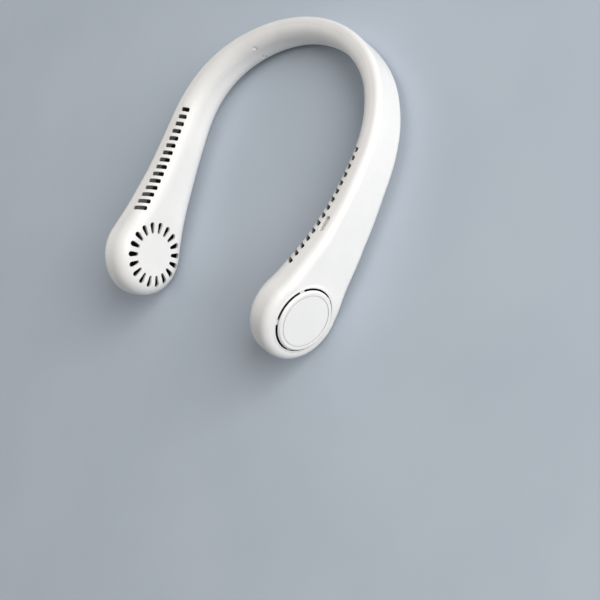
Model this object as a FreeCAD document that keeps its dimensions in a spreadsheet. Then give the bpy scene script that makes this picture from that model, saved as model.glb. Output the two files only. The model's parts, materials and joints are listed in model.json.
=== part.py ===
# Electric neck fan: a hollow horseshoe band that ends in two round fan pods.
# Everything is drawn as worn, with the pod centres at height zero and the back of
# the neck at y = 0, and then laid on a table by one placement at the end.
import FreeCAD, Part
import math
import os

import Sketcher
from FreeCAD import Placement, Rotation, Vector

doc = FreeCAD.newDocument("neck_fan")
dim = doc.addObject("Spreadsheet::Sheet", "dim")

SIZES = {
    # Middle line of the band in plan: three tangent arcs on each side
    "apex_radius": 88.2,
    "apex_turn": 36.3,
    "shoulder_radius": 68.0,
    "side_radius": 485.0,
    "side_length": 93.0,
    # Cross-section along the band
    "apex_height": 20.0,
    "apex_thickness": 12.0,
    "pod_diameter": 52.5,
    "pod_thickness": 20.7,
    "pod_tangent_angle": 17.7,
    "flare_start_power": 1.58,
    "flare_power": 7.1,
    "swell_power": 1.27,
    "band_lift": 6.5,
    "lift_start_share": 0.34,
    "lift_end_share": 0.8,
    "inner_corner_share": 0.6,
    "pod_corner_share": 0.45,
    "corner_blend_start": 0.55,
    "outer_corner_share": 0.258,
    "wall": 1.6,
    "parting_offset": 0.7,
    "fit_gap": 0.2,
    # Air outlet slots along the inner top corner of each arm
    "slot_count": 15,
    "slot_start": 117.0,
    "slot_pitch": 5.1,
    "slot_width": 2.8,
    "slot_first_length": 5.4,
    "slot_last_length": 8.8,
    "slot_corner": 0.9,
    "slot_lean": 27.0,
    "slot_skew": 13.0,
    "slot_depth": 6.0,
    # Two round dimples on the inner face, at each side of the apex
    "dimple_distance": 50.9,
    "dimple_level": 0.7,
    "dimple_spacing": 9.7,
    "dimple_radius": 1.6,
    "dimple_depth": 0.8,
    # Intake grille on the inner face of each pod
    "grille_count": 18,
    "grille_turn": 10.0,
    "grille_inner_radius": 13.5,
    "grille_outer_radius": 20.8,
    "grille_inner_width": 2.1,
    "grille_outer_width": 3.4,
    # Intake cap on the outer face of each pod
    "cap_opening_radius": 19.2,
    "cap_slit": 1.0,
    "cap_proud": 2.1,
    "cap_plate": 1.4,
    "cap_bevel": 0.9,
    "cap_groove_radius": 15.4,
    "cap_groove_width": 0.5,
    "cap_groove_depth": 0.4,
    "collar_width": 2.2,
    "collar_height": 0.25,
    "lug_count": 5,
    "lug_turn": 45.0,
    "lug_width": 3.0,
    "lug_reach": 1.4,
    "lug_thickness": 1.0,
    "lug_gap": 0.7,
    "lug_foot": 1.6,
    "lug_inset": 0.3,
    # Motor in each pod
    "boss_height": 2.2,
    "boss_radius": 2.0,
    "boss_circle": 11.0,
    "boss_count": 3,
    "base_radius": 13.0,
    "base_plate": 1.2,
    "bush_length": 7.0,
    "bush_radius": 2.0,
    "holder_wall": 1.0,
    "shaft_radius": 0.75,
    "running_gap": 0.02,
    "press_gap": 0.02,
    "motor_board_radius": 9.2,
    "motor_board_thickness": 0.8,
    "stator_radius": 8.2,
    "stator_height": 3.4,
    "stator_hub_wall": 1.4,
    "tooth_count": 6,
    "tooth_width": 1.8,
    "tooth_tip": 1.0,
    "coil_wall": 0.8,
    "coil_gap": 0.1,
    "air_gap": 0.3,
    "magnet_wall": 0.8,
    "cup_wall": 0.6,
    "rotor_lift": 0.6,
    # Impeller
    "impeller_radius": 20.2,
    "impeller_height": 10.4,
    "hub_wall": 1.0,
    "disc_thickness": 1.0,
    "blade_count": 28,
    "blade_thickness": 0.8,
    "blade_length": 5.6,
    "blade_lean": 1.6,
    "rim_width": 1.4,
    "rim_thickness": 0.8,
    # Air path
    "volute_gap": 1.3,
    "volute_growth": 1.8,
    "volute_wall": 1.2,
    "volute_start": 12.0,
    "volute_wrap": 267.0,
    "duct_floor_level": 4.8,
    "duct_floor_thickness": 1.2,
    "duct_start": 113.0,
    # Battery cell in each arm
    "cell_radius": 5.0,
    "cell_length": 44.0,
    "cell_middle": 151.0,
    "cell_gap": 0.3,
    "cell_tip_radius": 2.2,
    "cell_tip_length": 0.8,
    "cell_groove": 0.5,
    # Charging socket and control board in the right arm
    "port_distance": 162.0,
    "port_offset": 2.6,
    "port_length": 9.3,
    "port_width": 3.5,
    "socket_length": 8.9,
    "socket_width": 3.2,
    "socket_depth": 7.4,
    "socket_skin": 0.3,
    "socket_sink": 0.4,
    "tongue_length": 6.7,
    "tongue_width": 0.7,
    "tongue_depth": 6.2,
    "board_length": 30.0,
    "board_height": 7.4,
    "board_thickness": 1.0,
    "board_level": 6.4,
    "board_boss_spacing": 24.0,
    "chip_length": 5.0,
    "chip_thickness": 1.1,
    "coil_pot_radius": 2.4,
    # Power button on the inner face of the right arm
    "button_distance_from_pod": 28.5,
    "button_level": -6.0,
    "button_length": 9.5,
    "button_width": 5.5,
    "button_gap": 0.2,
    "button_proud": 0.5,
    "button_crown": 0.4,
    "button_travel": 0.6,
    "flange_margin": 0.5,
    "flange_thickness": 0.8,
    "plunger_radius": 0.9,
    "plunger_gap": 0.1,
    "switch_side": 4.5,
    "switch_height": 1.8,
    "switch_clear": 1.3,
    "button_board_length": 8.4,
    "button_board_height": 15.6,
    "button_boss_spacing": 12.4,
    # Screws and wires
    "screw_radius": 0.75,
    "screw_head_radius": 1.5,
    "screw_head_height": 0.9,
    "screw_length": 3.0,
    "screw_drive": 1.3,
    "small_boss_radius": 1.7,
    "lead_radius": 0.7,
    "lead_level": 2.9,
    "lead_gap": 0.3,
}
for row, (name, value) in enumerate(SIZES.items(), start=1):
    dim.set(f"A{row}", name)
    dim.set(f"B{row}", str(value))
    dim.setAlias(f"B{row}", name)
doc.recompute()


def size(name):
    return float(dim.get(name))


UP = Vector(0, 0, 1)
POD_RADIUS = size("pod_diameter") / 2
APEX_TURN = math.radians(size("apex_turn"))
APEX_RUN = size("apex_radius") * APEX_TURN
SHOULDER_RUN = size("shoulder_radius") * (math.pi / 2 - APEX_TURN)
LENGTH = APEX_RUN + SHOULDER_RUN + size("side_length")
TANGENT = math.radians(size("pod_tangent_angle"))
FLARE_LENGTH = LENGTH - POD_RADIUS * math.sin(TANGENT)
FLARE_SECTIONS = 16
NOSE_SECTIONS = 3
FAR = 80.0


# Middle line and cross-section of the band
def walk(distance):
    """Plan point, travel direction and outward direction; the left arm has negative distances."""
    x = 0.0
    y = 0.0
    turn = 0.0
    left_over = abs(distance)
    arcs = [
        (size("apex_radius"), APEX_RUN),
        (size("shoulder_radius"), SHOULDER_RUN),
        (size("side_radius"), math.inf),
    ]
    for radius, run in arcs:
        step = min(left_over, run)
        after = turn + step / radius
        x += radius * (math.sin(after) - math.sin(turn))
        y += radius * (math.cos(after) - math.cos(turn))
        turn = after
        left_over -= step
    side = math.copysign(1.0, distance)
    point = Vector(side * x, y, 0)
    travel = Vector(math.cos(turn), -side * math.sin(turn), 0)
    outward = Vector(side * math.sin(turn), math.cos(turn), 0)
    return point, travel, outward


def smooth(share):
    """Soft step from 0 to 1."""
    share = min(max(share, 0.0), 1.0)
    return share * share * (3 - 2 * share)


def half_height(distance):
    """Half the band's height: a flare that runs tangent into the pod's circle."""
    to_pod = LENGTH - abs(distance)
    if abs(distance) >= FLARE_LENGTH:
        return math.sqrt(POD_RADIUS ** 2 - min(to_pod, POD_RADIUS) ** 2)
    share = abs(distance) / FLARE_LENGTH
    early = size("flare_start_power")
    late = size("flare_power")
    start = size("apex_height") / 2
    rise = POD_RADIUS * math.cos(TANGENT) - start
    weight = (math.tan(TANGENT) * FLARE_LENGTH / rise - early) / (late - early)
    return start + rise * ((1 - weight) * share ** early + weight * share ** late)


def thickness(distance):
    share = min(abs(distance) / LENGTH, 1.0)
    swell = math.sin(math.pi / 2 * share ** size("swell_power")) ** 2
    return size("apex_thickness") + (size("pod_thickness") - size("apex_thickness")) * swell


def middle_height(distance):
    """Height of the middle line over the pod centres: the neck band is lifted a little."""
    start = size("lift_start_share")
    share = (abs(distance) / LENGTH - start) / (size("lift_end_share") - start)
    return size("band_lift") * (1 - smooth(share))


def at(distance, offset, height):
    point, _, outward = walk(distance)
    return point + outward * offset + UP * height


def arm_frame(distance, offset, height):
    """Placement with x along the band, y outwards and z up."""
    _, travel, outward = walk(distance)
    return Placement(at(distance, offset, height), Rotation(travel, outward, UP, "ZXY"))


def pod_frame(side):
    """Placement at a pod's centre with z outwards along its axis and x back along the arm."""
    point, travel, outward = walk(side * LENGTH)
    back = travel * -side
    return Placement(point, Rotation(back, outward.cross(back), outward, "ZXY"))


def arc(corner, start, end):
    """Quarter arc about a centre, from one point to another."""
    middle = (start - corner) + (end - corner)
    middle.normalize()
    return Part.Arc(start, corner + middle * (start - corner).Length, end).toShape()


def corner_radii(distance):
    """Corner radii on the neck side, which tightens towards the pods, and on the outer side."""
    start = size("corner_blend_start")
    blend = smooth((abs(distance) / LENGTH - start) / (1 - start))
    share = size("inner_corner_share")
    share += (size("pod_corner_share") - share) * blend
    inner = min(thickness(distance) * share, 0.98 * half_height(distance))
    return inner, thickness(distance) * size("outer_corner_share")


def upper_edges(place, half_width, half_tall, inner, outer):
    """Inner face, top face and outer face over the middle line; place maps (outward, up) to a point."""
    low_in = place(-half_width, 0)
    high_in = place(-half_width, half_tall - inner)
    top_in = place(-half_width + inner, half_tall)
    top_out = place(half_width - outer, half_tall)
    high_out = place(half_width, half_tall - outer)
    low_out = place(half_width, 0)
    return [
        Part.LineSegment(low_in, high_in).toShape(),
        arc(place(-half_width + inner, half_tall - inner), high_in, top_in),
        Part.LineSegment(top_in, top_out).toShape(),
        arc(place(half_width - outer, half_tall - outer), top_out, high_out),
        Part.LineSegment(high_out, low_out).toShape(),
    ]


def section(distance, inset):
    """Rounded rectangle across the band; the corners on the neck side are the softer ones."""
    inner, outer = corner_radii(distance)
    middle = middle_height(distance)
    edges = []
    for sign in (1, -1):
        edges += upper_edges(
            lambda p, q: at(distance, p, middle + sign * q),
            thickness(distance) / 2 - inset, half_height(distance) - inset, inner - inset, outer - inset)
    return Part.Wire(Part.__sortEdges__(edges))


def nose(side, inset):
    """Half disc that closes the band in front of a pod's axis."""
    distance = side * LENGTH
    inner, outer = corner_radii(distance)
    half_width = thickness(distance) / 2 - inset
    edges = upper_edges(
        lambda p, q: at(distance, p, q), half_width, POD_RADIUS - inset, inner - inset, outer - inset
    )
    edges.append(Part.LineSegment(at(distance, half_width, 0), at(distance, -half_width, 0)).toShape())
    profile = Part.Face(Part.Wire(edges))
    point, _, outward = walk(distance)
    return profile.revolve(point, outward, side * 180)


def band(inset):
    """Solid horseshoe, drawn in by an inset all round."""
    flare = [FLARE_LENGTH * step / FLARE_SECTIONS for step in range(FLARE_SECTIONS + 1)]
    gap = LENGTH - FLARE_LENGTH
    close = [FLARE_LENGTH + gap * step / NOSE_SECTIONS for step in range(1, NOSE_SECTIONS + 1)]
    right = flare + close
    stations = [-distance for distance in reversed(right[1:])] + right
    arms = Part.makeLoft([section(distance, inset) for distance in stations], True, False)
    return arms.fuse([nose(-1, inset), nose(1, inset)])


def offset_edges(start, end, offset):
    """Arcs beside the middle line of the right arm, split where its radius changes."""
    joints = [joint for joint in (0.0, APEX_RUN, APEX_RUN + SHOULDER_RUN) if start < joint < end]
    stops = [start] + joints + [end]
    edges = []
    for before, after in zip(stops, stops[1:]):
        points = [at(distance, offset, 0) for distance in (before, (before + after) / 2, after)]
        edges.append(Part.Arc(*points).toShape())
    return edges


def strip(start, end, inside, outside, low, high):
    """Slab that follows the right arm between two distances, two offsets and two heights."""
    edges = offset_edges(start, end, inside) + offset_edges(start, end, outside)
    edges.append(Part.LineSegment(at(start, inside, 0), at(start, outside, 0)).toShape())
    edges.append(Part.LineSegment(at(end, inside, 0), at(end, outside, 0)).toShape())
    face = Part.Face(Part.Wire(Part.__sortEdges__(edges)))
    face.translate(UP * low)
    return face.extrude(UP * (high - low))


def mirrored(shape):
    return shape.mirror(Vector(0, 0, 0), Vector(1, 0, 0))


def rounded_block(length, width, corner, low, high):
    """Block centred on the z axis with its upright edges rounded."""
    block = Part.makeBox(length, width, high - low, Vector(-length / 2, -width / 2, low))
    upright = [edge for edge in block.Edges if abs(edge.tangentAt(edge.FirstParameter).z) > 0.5]
    return block.makeFillet(corner, upright)


def moved(shape, placement):
    copy = shape.copy()
    copy.Placement = placement.multiply(copy.Placement)
    return copy


# The part at rest: the backs of the pods and the back of the neck band touch the table
def table_placement(body):
    outer = corner_radii(0)[1]
    reach = size("apex_thickness") / 2 - outer - walk(LENGTH)[0].y
    drop = size("apex_height") / 2 - size("band_lift") - outer
    lean = math.asin((POD_RADIUS - outer) / math.hypot(reach, drop)) - math.atan2(drop, reach)
    turn = Rotation(Vector(1, 0, 0), -math.degrees(lean))
    turned = moved(body, Placement(Vector(0, 0, 0), turn))
    box = turned.optimalBoundingBox(False, False)
    return Placement(Vector(0, -box.Center.y, -box.ZMin), turn)


BODY = band(0.0)
CORE = band(size("wall") / 2)
REST = table_placement(BODY)
nodes = {}


def keep(label, obj, placement):
    """Name a sub-part and put it where it belongs on the table."""
    obj.Label = label
    obj.Placement = REST.multiply(placement)
    nodes[label] = obj
    return obj


def keep_shape(label, shape):
    obj = doc.addObject("Part::Feature", label)
    obj.Shape = shape
    return keep(label, obj, shape.Placement)


# Parametric primitives
def cylinder(name, radius, height, level, across=("0", "0")):
    obj = doc.addObject("Part::Cylinder", name)
    obj.setExpression("Radius", radius)
    obj.setExpression("Height", height)
    obj.setExpression("Placement.Base.x", across[0])
    obj.setExpression("Placement.Base.y", across[1])
    obj.setExpression("Placement.Base.z", level)
    return obj


def block(name, length, width, height, middle_x, middle_y, level):
    obj = doc.addObject("Part::Box", name)
    obj.setExpression("Length", length)
    obj.setExpression("Width", width)
    obj.setExpression("Height", height)
    obj.setExpression("Placement.Base.x", f"{middle_x} - ({length}) / 2")
    obj.setExpression("Placement.Base.y", f"{middle_y} - ({width}) / 2")
    obj.setExpression("Placement.Base.z", level)
    return obj


def fuse(name, *shapes):
    obj = doc.addObject("Part::MultiFuse", name)
    obj.Shapes = list(shapes)
    return obj


def cut(name, base, tool):
    obj = doc.addObject("Part::Cut", name)
    obj.Base = base
    obj.Tool = tool
    return obj


def tube(name, outer, inner, height, level):
    solid = cylinder(name + "_solid", outer, height, level)
    bore = cylinder(name + "_bore", inner, f"({height}) + 2", f"({level}) - 1")
    return cut(name, solid, bore)


def oblong(name, length, width, height, level):
    """Block with two round ends, long axis along x."""
    middle = block(name + "_middle", f"({length}) - ({width})", width, height, "0", "0", level)
    ends = []
    for end, sign in (("_front", ""), ("_back", "-")):
        across = (f"{sign}(({length}) - ({width})) / 2", "0")
        ends.append(cylinder(name + end, f"({width}) / 2", height, level, across))
    return fuse(name, middle, *ends)


def group(name, shape, placements):
    """Separate copies of one piece, kept in one node."""
    return keep_shape(name, Part.makeCompound([moved(shape, placement) for placement in placements]))


# Parametric bodies drawn as sketches
def new_body(label):
    return doc.addObject("PartDesign::Body", label + "_body")


def new_sketch(body, name, level):
    sketch = body.newObject("Sketcher::SketchObject", name)
    plane = next(feature for feature in body.Origin.OriginFeatures if feature.Role == "XY_Plane")
    sketch.AttachmentSupport = (plane, [""])
    sketch.MapMode = "FlatFace"
    sketch.setExpression("AttachmentOffset.Base.z", level)
    return sketch


def bind(sketch, kind, place, value, text):
    index = sketch.addConstraint(Sketcher.Constraint(kind, *place, value))
    sketch.setExpression(f"Constraints[{index}]", text)


def pin(sketch, kind, axis, place, text):
    """Hold one coordinate of a sketch point at a value worked out from the sheet."""
    value = float(sketch.evalExpression(text))
    if abs(value) < 1e-9:
        sketch.addConstraint(Sketcher.Constraint("PointOnObject", *place, axis))
    elif value > 0:
        bind(sketch, kind, (-1, 1, *place), value, text)
    else:
        bind(sketch, kind, (*place, -1, 1), -value, f"-({text})")


def circle(sketch, radius, across=("0", "0")):
    value = float(sketch.evalExpression(radius))
    centre = Vector(*[float(sketch.evalExpression(text)) for text in across], 0)
    index = sketch.addGeometry(Part.Circle(centre, UP, value))
    pin(sketch, "DistanceX", -2, (index, 3), across[0])
    pin(sketch, "DistanceY", -1, (index, 3), across[1])
    bind(sketch, "Radius", (index,), value, radius)


def polygon(sketch, corners):
    points = [Vector(*[float(sketch.evalExpression(text)) for text in corner], 0) for corner in corners]
    first = sketch.GeometryCount
    count = len(points)
    for step in range(count):
        sketch.addGeometry(Part.LineSegment(points[step], points[(step + 1) % count]))
    for step in range(count):
        following = first + (step + 1) % count
        sketch.addConstraint(Sketcher.Constraint("Coincident", first + step, 2, following, 1))
    for step, corner in enumerate(corners):
        pin(sketch, "DistanceX", -2, (first + step, 1), corner[0])
        pin(sketch, "DistanceY", -1, (first + step, 1), corner[1])


def rectangle(sketch, length, width):
    x = f"({length}) / 2"
    y = f"({width}) / 2"
    polygon(sketch, [(f"-{x}", f"-{y}"), (x, f"-{y}"), (x, y), (f"-{x}", y)])


def pad(body, sketch, height):
    feature = body.newObject("PartDesign::Pad", sketch.Name + "_pad")
    feature.Profile = sketch
    feature.setExpression("Length", height)
    doc.recompute()
    return feature


def rod(name, radius, height, level):
    """Plain round bar along the z axis."""
    body = new_body(name)
    outline = new_sketch(body, name + "_outline", level)
    circle(outline, radius)
    pad(body, outline, height)
    return body


def around(body, feature, count):
    """Repeat a feature evenly about the body's z axis."""
    pattern = body.newObject("PartDesign::PolarPattern", feature.Name + "_ring")
    pattern.Originals = [feature]
    axis = next(item for item in body.Origin.OriginFeatures if item.Role == "Z_Axis")
    pattern.Axis = (axis, [""])
    pattern.Angle = 360
    pattern.setExpression("Occurrences", count)
    body.Tip = pattern
    doc.recompute()
    return pattern


# Levels along a pod's axis, from the inner face outwards
SEAT = "-(dim.pod_thickness / 2 - dim.wall)"
BASE = f"({SEAT} + dim.boss_height)"
BOARD = f"({BASE} + dim.base_plate)"
BOARD_TOP = f"({BOARD} + dim.motor_board_thickness)"
STATOR = f"({BOARD_TOP} + dim.coil_wall + dim.rotor_lift)"
STATOR_TOP = f"({STATOR} + dim.stator_height)"
CUP_LOW = f"({STATOR} - dim.rotor_lift)"
CUP_ROOF = f"({STATOR_TOP} + dim.coil_wall + dim.rotor_lift)"
CUP_TOP = f"({CUP_ROOF} + dim.cup_wall)"
HOLDER_RADIUS = "(dim.bush_radius + dim.holder_wall)"
MAGNET_INNER = "(dim.stator_radius + dim.air_gap)"
MAGNET_OUTER = f"({MAGNET_INNER} + dim.magnet_wall)"
CUP_RADIUS = f"({MAGNET_OUTER} + dim.press_gap + dim.cup_wall)"
HUB_RADIUS = f"({CUP_RADIUS} + dim.press_gap + dim.hub_wall)"
FACE = "dim.pod_thickness / 2"


def level(text):
    return float(dim.evalExpression(text.replace("dim.", "")))


def pod_pieces(side_name, placement):
    """Everything in one pod that is turned or moulded about its axis."""

    def part(piece, obj):
        return keep(f"{side_name}_{piece}", obj, placement)

    part("intake_cap", intake_cap(side_name))
    part("motor_base", motor_base(side_name))
    part("motor_board", motor_board(side_name))
    part("stator_core", stator_core(side_name))
    part("rotor_cup", rotor_cup(side_name))
    part("rotor_magnet", rotor_magnet(side_name))
    part("impeller", impeller(side_name))
    part("bearing_bush", tube(
        side_name + "_bush", "dim.bush_radius - dim.press_gap", "dim.shaft_radius + dim.running_gap",
        "dim.bush_length", BASE))
    part("motor_shaft", rod(
        side_name + "_shaft", "dim.shaft_radius", f"{CUP_TOP} - {BASE} - dim.rotor_lift",
        f"{BASE} + dim.rotor_lift"))


def intake_cap(name):
    """Flat cap with a bevelled edge and a fine groove; hooked lugs hold it clear of the shell."""
    body = new_body(name + "_cap")
    radius = "(dim.cap_opening_radius - dim.cap_slit)"
    under = f"({FACE} - dim.wall - dim.lug_gap - dim.lug_thickness)"
    top = f"({FACE} + dim.cap_proud)"
    plate = new_sketch(body, name + "_cap_plate", f"{top} - dim.cap_plate")
    circle(plate, radius)
    pad(body, plate, "dim.cap_plate")
    half = "dim.lug_width / 2"
    foot = f"sqrt(({radius} - dim.lug_inset) ^ 2 - ({half}) ^ 2)"
    near = f"sqrt((dim.cap_opening_radius - dim.press_gap) ^ 2 - ({half}) ^ 2)"
    inside = f"{foot} - dim.lug_foot"
    reaches = {
        "post": (foot, f"{top} - dim.cap_plate / 2 - {under}"),
        "bridge": (near, f"{FACE} - dim.fit_gap - {under}"),
        "hook": ("dim.cap_opening_radius + dim.lug_reach", "dim.lug_thickness"),
    }
    for piece, (outside, height) in reaches.items():
        lug = new_sketch(body, f"{name}_cap_{piece}", under)
        lug.setExpression("AttachmentOffset.Rotation.Angle", "dim.lug_turn * 1 deg")
        polygon(lug, [(inside, f"-{half}"), (outside, f"-{half}"), (outside, half), (inside, half)])
        around(body, pad(body, lug, height), "dim.lug_count")
    edge = top_edge(body, level(top), level(radius))
    blank = body.Tip
    bevel = body.newObject("PartDesign::Chamfer", name + "_cap_bevel")
    bevel.Base = (blank, [edge])
    bevel.setExpression("Size", "dim.cap_bevel")
    body.Tip = bevel
    doc.recompute()
    groove = new_sketch(body, name + "_cap_groove", top)
    circle(groove, "dim.cap_groove_radius + dim.cap_groove_width / 2")
    circle(groove, "dim.cap_groove_radius - dim.cap_groove_width / 2")
    pocket = body.newObject("PartDesign::Pocket", name + "_cap_groove_cut")
    pocket.Profile = groove
    pocket.setExpression("Length", "dim.cap_groove_depth")
    doc.recompute()
    return body


def top_edge(body, height, radius):
    """Name of the round edge at a height and radius."""
    for index, edge in enumerate(body.Shape.Edges, start=1):
        curve = edge.Curve
        if not isinstance(curve, Part.Circle):
            continue
        if abs(curve.Radius - radius) < 1e-6 and abs(curve.Center.z - height) < 1e-6:
            return f"Edge{index}"
    raise RuntimeError("no round edge at that height")


def motor_base(name):
    """Plate on the three bosses of the inner shell, with the holder of the bearing bush."""
    body = new_body(name + "_base")
    plate = new_sketch(body, name + "_base_plate", BASE)
    circle(plate, "dim.base_radius")
    circle(plate, "dim.bush_radius")
    for step in range(int(size("boss_count"))):
        turn = f"{step} * 360 deg / dim.boss_count"
        across = (f"dim.boss_circle * cos({turn})", f"dim.boss_circle * sin({turn})")
        circle(plate, "dim.screw_radius + dim.fit_gap / 2", across)
    pad(body, plate, "dim.base_plate")
    holder = new_sketch(body, name + "_base_holder", f"{BASE} + dim.base_plate / 2")
    circle(holder, HOLDER_RADIUS)
    circle(holder, "dim.bush_radius")
    pad(body, holder, "dim.bush_length - dim.base_plate / 2")
    return body


def motor_board(name):
    return tube(
        name + "_board", "dim.motor_board_radius", f"{HOLDER_RADIUS} + dim.press_gap",
        "dim.motor_board_thickness", BOARD)


def stator_core(name):
    """Laminated core: a hub with T-shaped teeth."""
    body = new_body(name + "_stator")
    hub_outer = f"{HOLDER_RADIUS} + dim.press_gap + dim.stator_hub_wall"
    hub = new_sketch(body, name + "_stator_hub", STATOR)
    circle(hub, hub_outer)
    circle(hub, f"{HOLDER_RADIUS} + dim.press_gap")
    pad(body, hub, "dim.stator_height")
    tooth = new_sketch(body, name + "_stator_tooth", STATOR)
    root = f"{hub_outer} - dim.press_gap - 0.3"
    neck = "dim.stator_radius - dim.tooth_tip"
    half = "dim.tooth_width / 2"
    wide = "dim.tooth_width * 1.1"
    tip = "sqrt(dim.stator_radius ^ 2 - (dim.tooth_width * 1.1) ^ 2)"
    polygon(tooth, [
        (root, f"-{half}"), (neck, f"-{half}"), (neck, f"-{wide}"), (tip, f"-{wide}"),
        (tip, wide), (neck, wide), (neck, half), (root, half)])
    around(body, pad(body, tooth, "dim.stator_height"), "dim.tooth_count")
    return body


def stator_coils(name, placement):
    """One winding round each tooth, as separate solids."""
    inner = level(f"{HOLDER_RADIUS} + dim.press_gap + dim.stator_hub_wall + dim.coil_gap")
    outer = level("dim.stator_radius - dim.tooth_tip - dim.coil_gap")
    gap = size("coil_gap")
    wall = size("coil_wall")
    hole_wide = size("tooth_width") + 2 * gap
    hole_high = size("stator_height") + 2 * gap
    low = level(STATOR) - gap
    solid = Part.makeBox(
        outer - inner, hole_wide + 2 * wall, hole_high + 2 * (wall - gap),
        Vector(inner, -hole_wide / 2 - wall, low - wall + gap))
    hole = Part.makeBox(outer - inner, hole_wide, hole_high, Vector(inner, -hole_wide / 2, low))
    winding = solid.cut(hole)
    count = int(size("tooth_count"))
    turns = [Placement(Vector(0, 0, 0), Rotation(UP, 360.0 * step / count)) for step in range(count)]
    windings = Part.makeCompound([moved(winding, turn) for turn in turns])
    keep_shape(f"{name}_stator_coils", moved(windings, placement))


def rotor_cup(name):
    """Steel cup over the stator, pressed on the shaft."""
    skirt = tube(
        name + "_cup_skirt", CUP_RADIUS, f"{MAGNET_OUTER} + dim.press_gap", f"{CUP_TOP} - {CUP_LOW}", CUP_LOW)
    roof = tube(name + "_cup_roof", CUP_RADIUS, "dim.shaft_radius + dim.press_gap", "dim.cup_wall", CUP_ROOF)
    return fuse(name + "_cup", skirt, roof)


def rotor_magnet(name):
    return tube(name + "_magnet", MAGNET_OUTER, MAGNET_INNER, f"{CUP_ROOF} - {CUP_LOW}", CUP_LOW)


def impeller(name):
    """Double-inlet blower wheel: hub, middle disc, leaning blades and a rim at both ends."""
    body = new_body(name + "_wheel")
    hub = new_sketch(body, name + "_wheel_hub", CUP_LOW)
    circle(hub, HUB_RADIUS)
    circle(hub, f"{CUP_RADIUS} + dim.press_gap")
    pad(body, hub, f"{CUP_TOP} - {CUP_LOW}")
    disc = new_sketch(body, name + "_wheel_disc", f"{CUP_TOP} - dim.disc_thickness")
    circle(disc, "dim.impeller_radius - dim.rim_width / 2")
    circle(disc, f"{CUP_RADIUS} + dim.press_gap")
    pad(body, disc, "dim.disc_thickness")
    low = f"{CUP_LOW}"
    blade = new_sketch(body, name + "_wheel_blade", low)
    outside = "dim.impeller_radius - dim.rim_width / 2"
    inside = "dim.impeller_radius - dim.blade_length"
    lean = "dim.blade_lean"
    polygon(blade, [
        (inside, "0"), (outside, lean),
        (outside, f"{lean} + dim.blade_thickness"), (inside, "dim.blade_thickness")])
    around(body, pad(body, blade, "dim.impeller_height"), "dim.blade_count")
    for end, start in (("low", low), ("high", f"{low} + dim.impeller_height - dim.rim_thickness")):
        rim = new_sketch(body, f"{name}_wheel_rim_{end}", start)
        circle(rim, "dim.impeller_radius")
        circle(rim, "dim.impeller_radius - dim.rim_width")
        pad(body, rim, "dim.rim_thickness")
    return body


PODS = {"left": -1, "right": 1}
for side_name, side in PODS.items():
    frame = pod_frame(side)
    pod_pieces(side_name, frame)
    stator_coils(side_name, frame)


# Screws
def screw():
    head = cylinder("screw_head", "dim.screw_head_radius", "dim.screw_head_height", "0")
    shank = cylinder("screw_shank", "dim.screw_radius", "dim.screw_length", "-dim.screw_length")
    wide = "dim.screw_drive"
    narrow = "dim.screw_drive / 3"
    half = "dim.screw_head_height / 2"
    drive = block("screw_drive", wide, narrow, "dim.screw_head_height", "0", "0", half)
    across = block("screw_drive_across", narrow, wide, "dim.screw_head_height", "0", "0", half)
    return cut("screw", fuse("screw_blank", head, shank), fuse("screw_cross", drive, across))


SCREW = screw()
doc.recompute()


def ring_of_bosses(height):
    """Placements on the boss circle of both pods, at a height along the axis."""
    count = int(size("boss_count"))
    places = []
    for side in PODS.values():
        for step in range(count):
            spin = Rotation(UP, 360.0 * step / count)
            offset = spin.multVec(Vector(size("boss_circle"), 0, height))
            places.append(pod_frame(side).multiply(Placement(offset, Rotation())))
    return places


group("motor_screws", SCREW.Shape, ring_of_bosses(level(BOARD)))


# Places of the boards, the socket and the button on the right arm
BUTTON_DISTANCE = LENGTH - size("button_distance_from_pod")
BUTTON_FACE = thickness(BUTTON_DISTANCE) / 2
BUTTON_FRAME = arm_frame(BUTTON_DISTANCE, -BUTTON_FACE, size("button_level")).multiply(
    Placement(Vector(0, 0, 0), Rotation(Vector(1, 0, 0), 90)))
BOARD_DISTANCE = size("port_distance")
BOARD_OFFSET = size("port_offset") + size("socket_width") / 2
BOARD_FRAME = arm_frame(BOARD_DISTANCE, BOARD_OFFSET, size("board_level"))
PORT_TOP = middle_height(BOARD_DISTANCE) + half_height(BOARD_DISTANCE)
PORT_FRAME = arm_frame(BOARD_DISTANCE, size("port_offset"), PORT_TOP)
# Depths behind the button's face, along its own axis
FLANGE_TOP = "-(dim.wall + dim.button_gap)"
FLANGE_LOW = f"({FLANGE_TOP} - dim.flange_thickness)"
SWITCH_TOP = f"({FLANGE_LOW} - dim.switch_clear)"
SWITCH_LOW = f"({SWITCH_TOP} - dim.switch_height)"


def board_boss_frames():
    """Two bosses on the outer shell carry the control board; z points from the board to the wall."""
    frames = []
    for end in (-1, 1):
        along = end * size("board_boss_spacing") / 2
        height = size("board_height") / 2
        spot = Placement(Vector(along, size("board_thickness"), height), Rotation(Vector(1, 0, 0), -90))
        frames.append(BOARD_FRAME.multiply(spot))
    return frames


def button_boss_frames():
    """Two bosses on the inner shell carry the button board; z points from the board to the wall."""
    frames = []
    for end in (-1, 1):
        spot = Vector(0, end * size("button_boss_spacing") / 2, level(SWITCH_LOW))
        frames.append(BUTTON_FRAME.multiply(Placement(spot, Rotation())))
    return frames


# Charging socket: a drawn steel shell with a plastic tongue
def usb_socket():
    skin = "dim.socket_skin"
    sink = "-(dim.socket_sink + dim.socket_depth)"
    outside = oblong("socket_outside", "dim.socket_length", "dim.socket_width", "dim.socket_depth", sink)
    inside = oblong(
        "socket_inside", f"dim.socket_length - 2 * {skin}", f"dim.socket_width - 2 * {skin}",
        "dim.socket_depth", f"{sink} + {skin} * 2")
    return cut("socket", outside, inside)


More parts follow.
